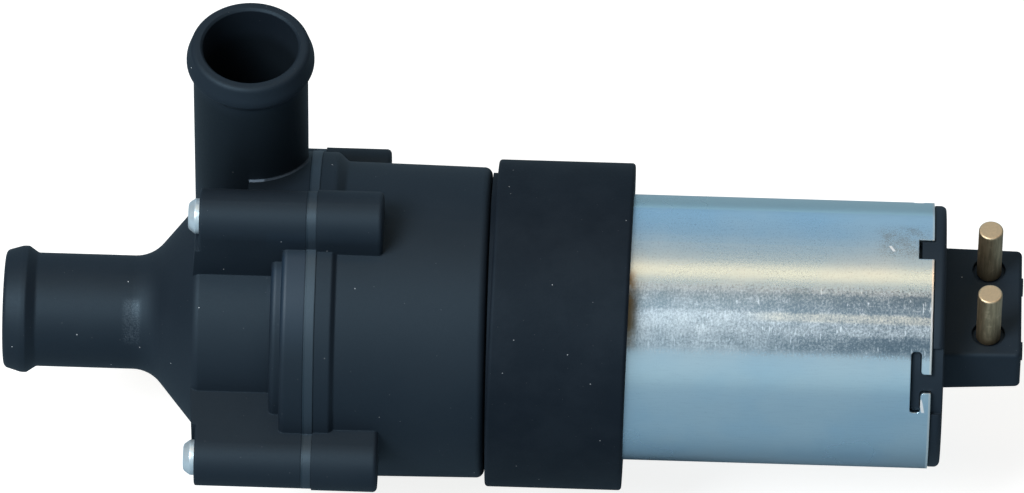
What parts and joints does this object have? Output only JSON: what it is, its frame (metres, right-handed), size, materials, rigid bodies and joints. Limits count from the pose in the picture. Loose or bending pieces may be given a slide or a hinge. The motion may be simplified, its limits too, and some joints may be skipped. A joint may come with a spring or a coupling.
{
  "type": "auxiliary water pump",
  "caption": "Electric auxiliary coolant pump: volute with beaded hose spigots, magnetic drive, brushed motor in a zinc-plated can, rubber mounting ring and a pin connector on the end cap.",
  "frame": {"origin": "centre of the rubber mounting ring, on the axis of the shaft", "axes": "+X along the shaft, from the inlet spigot to the electrical connector; +Z the way the outlet spigot and the contact pins point; the outlet is off the axis towards +Y"},
  "size_m": [0.1789, 0.0706, 0.0879],
  "materials": {
    "volute_cover": "glass-filled moulding, satin, fine grain",
    "inlet_spigot": "glass-filled moulding, satin, fine grain",
    "outlet_spigot": "glass-filled moulding, satin, fine grain",
    "cover_seal": "moulded rubber, smooth",
    "cover_screws": "bright zinc plate",
    "separating_can": "glass-filled moulding, satin, a shade lighter than the housings",
    "impeller_axle": "ground pin",
    "impeller": "glass-filled moulding, satin",
    "impeller_bush": "machined carbon",
    "impeller_magnet": "sintered ferrite",
    "impeller_retainer": "spring steel, bright",
    "impeller_washer": "lapped ceramic",
    "pump_housing": "glass-filled moulding, satin, fine grain",
    "motor_seal": "moulded rubber, smooth",
    "motor_screws": "zinc plate",
    "drive_cup": "drawn sheet, dull",
    "drive_magnets": "sintered ferrite",
    "mounting_ring": "matt moulded rubber",
    "motor_can": "drawn sheet, dull zinc plate",
    "field_magnets": "sintered ferrite",
    "magnet_springs": "spring steel",
    "motor_shaft": "ground bar",
    "armature_core": "stacked sheets, edges showing",
    "armature_winding": "enamelled copper wire",
    "commutator_core": "phenolic moulding",
    "commutator_segments": "turned copper",
    "front_bearing": "sintered bronze, oiled",
    "rear_bearing": "sintered bronze, oiled",
    "front_bearing_clip": "spring steel",
    "rear_bearing_clip": "spring steel",
    "thrust_washers": "smooth nylon",
    "brush_top": "pressed carbon",
    "brush_bottom": "pressed carbon",
    "brush_spring_top": "spring wire",
    "brush_spring_bottom": "spring wire",
    "brush_holders": "folded sheet",
    "brush_plate": "phenolic board",
    "choke_cores": "sintered ferrite",
    "choke_coils": "enamelled copper wire",
    "contact_pin_near": "turned, aged",
    "contact_pin_far": "turned, aged",
    "end_cap": "glass-filled moulding, satin, fine grain"
  },
  "bodies": {
    "casing": {"volute_cover": "volute_cover", "inlet_spigot": "inlet_spigot", "outlet_spigot": "outlet_spigot", "cover_seal": "cover_seal", "cover_screws": "cover_screws", "separating_can": "separating_can", "impeller_axle": "impeller_axle", "impeller_retainer": "impeller_retainer", "impeller_washer": "impeller_washer", "pump_housing": "pump_housing", "motor_seal": "motor_seal", "motor_screws": "motor_screws", "mounting_ring": "mounting_ring", "motor_can": "motor_can", "field_magnets": "field_magnets", "magnet_springs": "magnet_springs", "front_bearing": "front_bearing", "rear_bearing": "rear_bearing", "front_bearing_clip": "front_bearing_clip", "rear_bearing_clip": "rear_bearing_clip", "brush_holders": "brush_holders", "brush_plate": "brush_plate", "choke_cores": "choke_cores", "choke_coils": "choke_coils", "contact_pin_near": "contact_pin_near", "contact_pin_far": "contact_pin_far", "end_cap": "end_cap"},
    "rotor": {"motor_shaft": "motor_shaft", "drive_cup": "drive_cup", "drive_magnets": "drive_magnets", "armature_core": "armature_core", "armature_winding": "armature_winding", "commutator_core": "commutator_core", "commutator_segments": "commutator_segments", "thrust_washers": "thrust_washers"},
    "impeller_unit": {"impeller": "impeller", "impeller_bush": "impeller_bush", "impeller_magnet": "impeller_magnet"},
    "top_brush": {"brush_top": "brush_top", "brush_spring_top": "brush_spring_top"},
    "bottom_brush": {"brush_bottom": "brush_bottom", "brush_spring_bottom": "brush_spring_bottom"}
  },
  "joints": [
    {"name": "rotor_spin", "type": "hinge", "parent": "casing", "child": "rotor", "pos_m": [0, 0, 0], "axis": [1, 0, 0], "continuous": true},
    {"name": "impeller_spin", "type": "hinge", "parent": "casing", "child": "impeller_unit", "pos_m": [-0.05, 0, 0], "axis": [1, 0, 0], "continuous": true},
    {"name": "top_brush_slide", "type": "slide", "parent": "casing", "child": "top_brush", "axis": [0, 0, 1], "range_m": [0, 0.002], "stiffness_N_per_m": 150, "springref_m": -0.006, "deforming": ["brush_spring_top"]},
    {"name": "bottom_brush_slide", "type": "slide", "parent": "casing", "child": "bottom_brush", "axis": [0, 0, -1], "range_m": [0, 0.002], "stiffness_N_per_m": 150, "springref_m": -0.006, "deforming": ["brush_spring_bottom"]}
  ],
  "couplings": [
    {"joint": "impeller_spin", "follows": "rotor_spin", "ratio": 1}
  ]
}
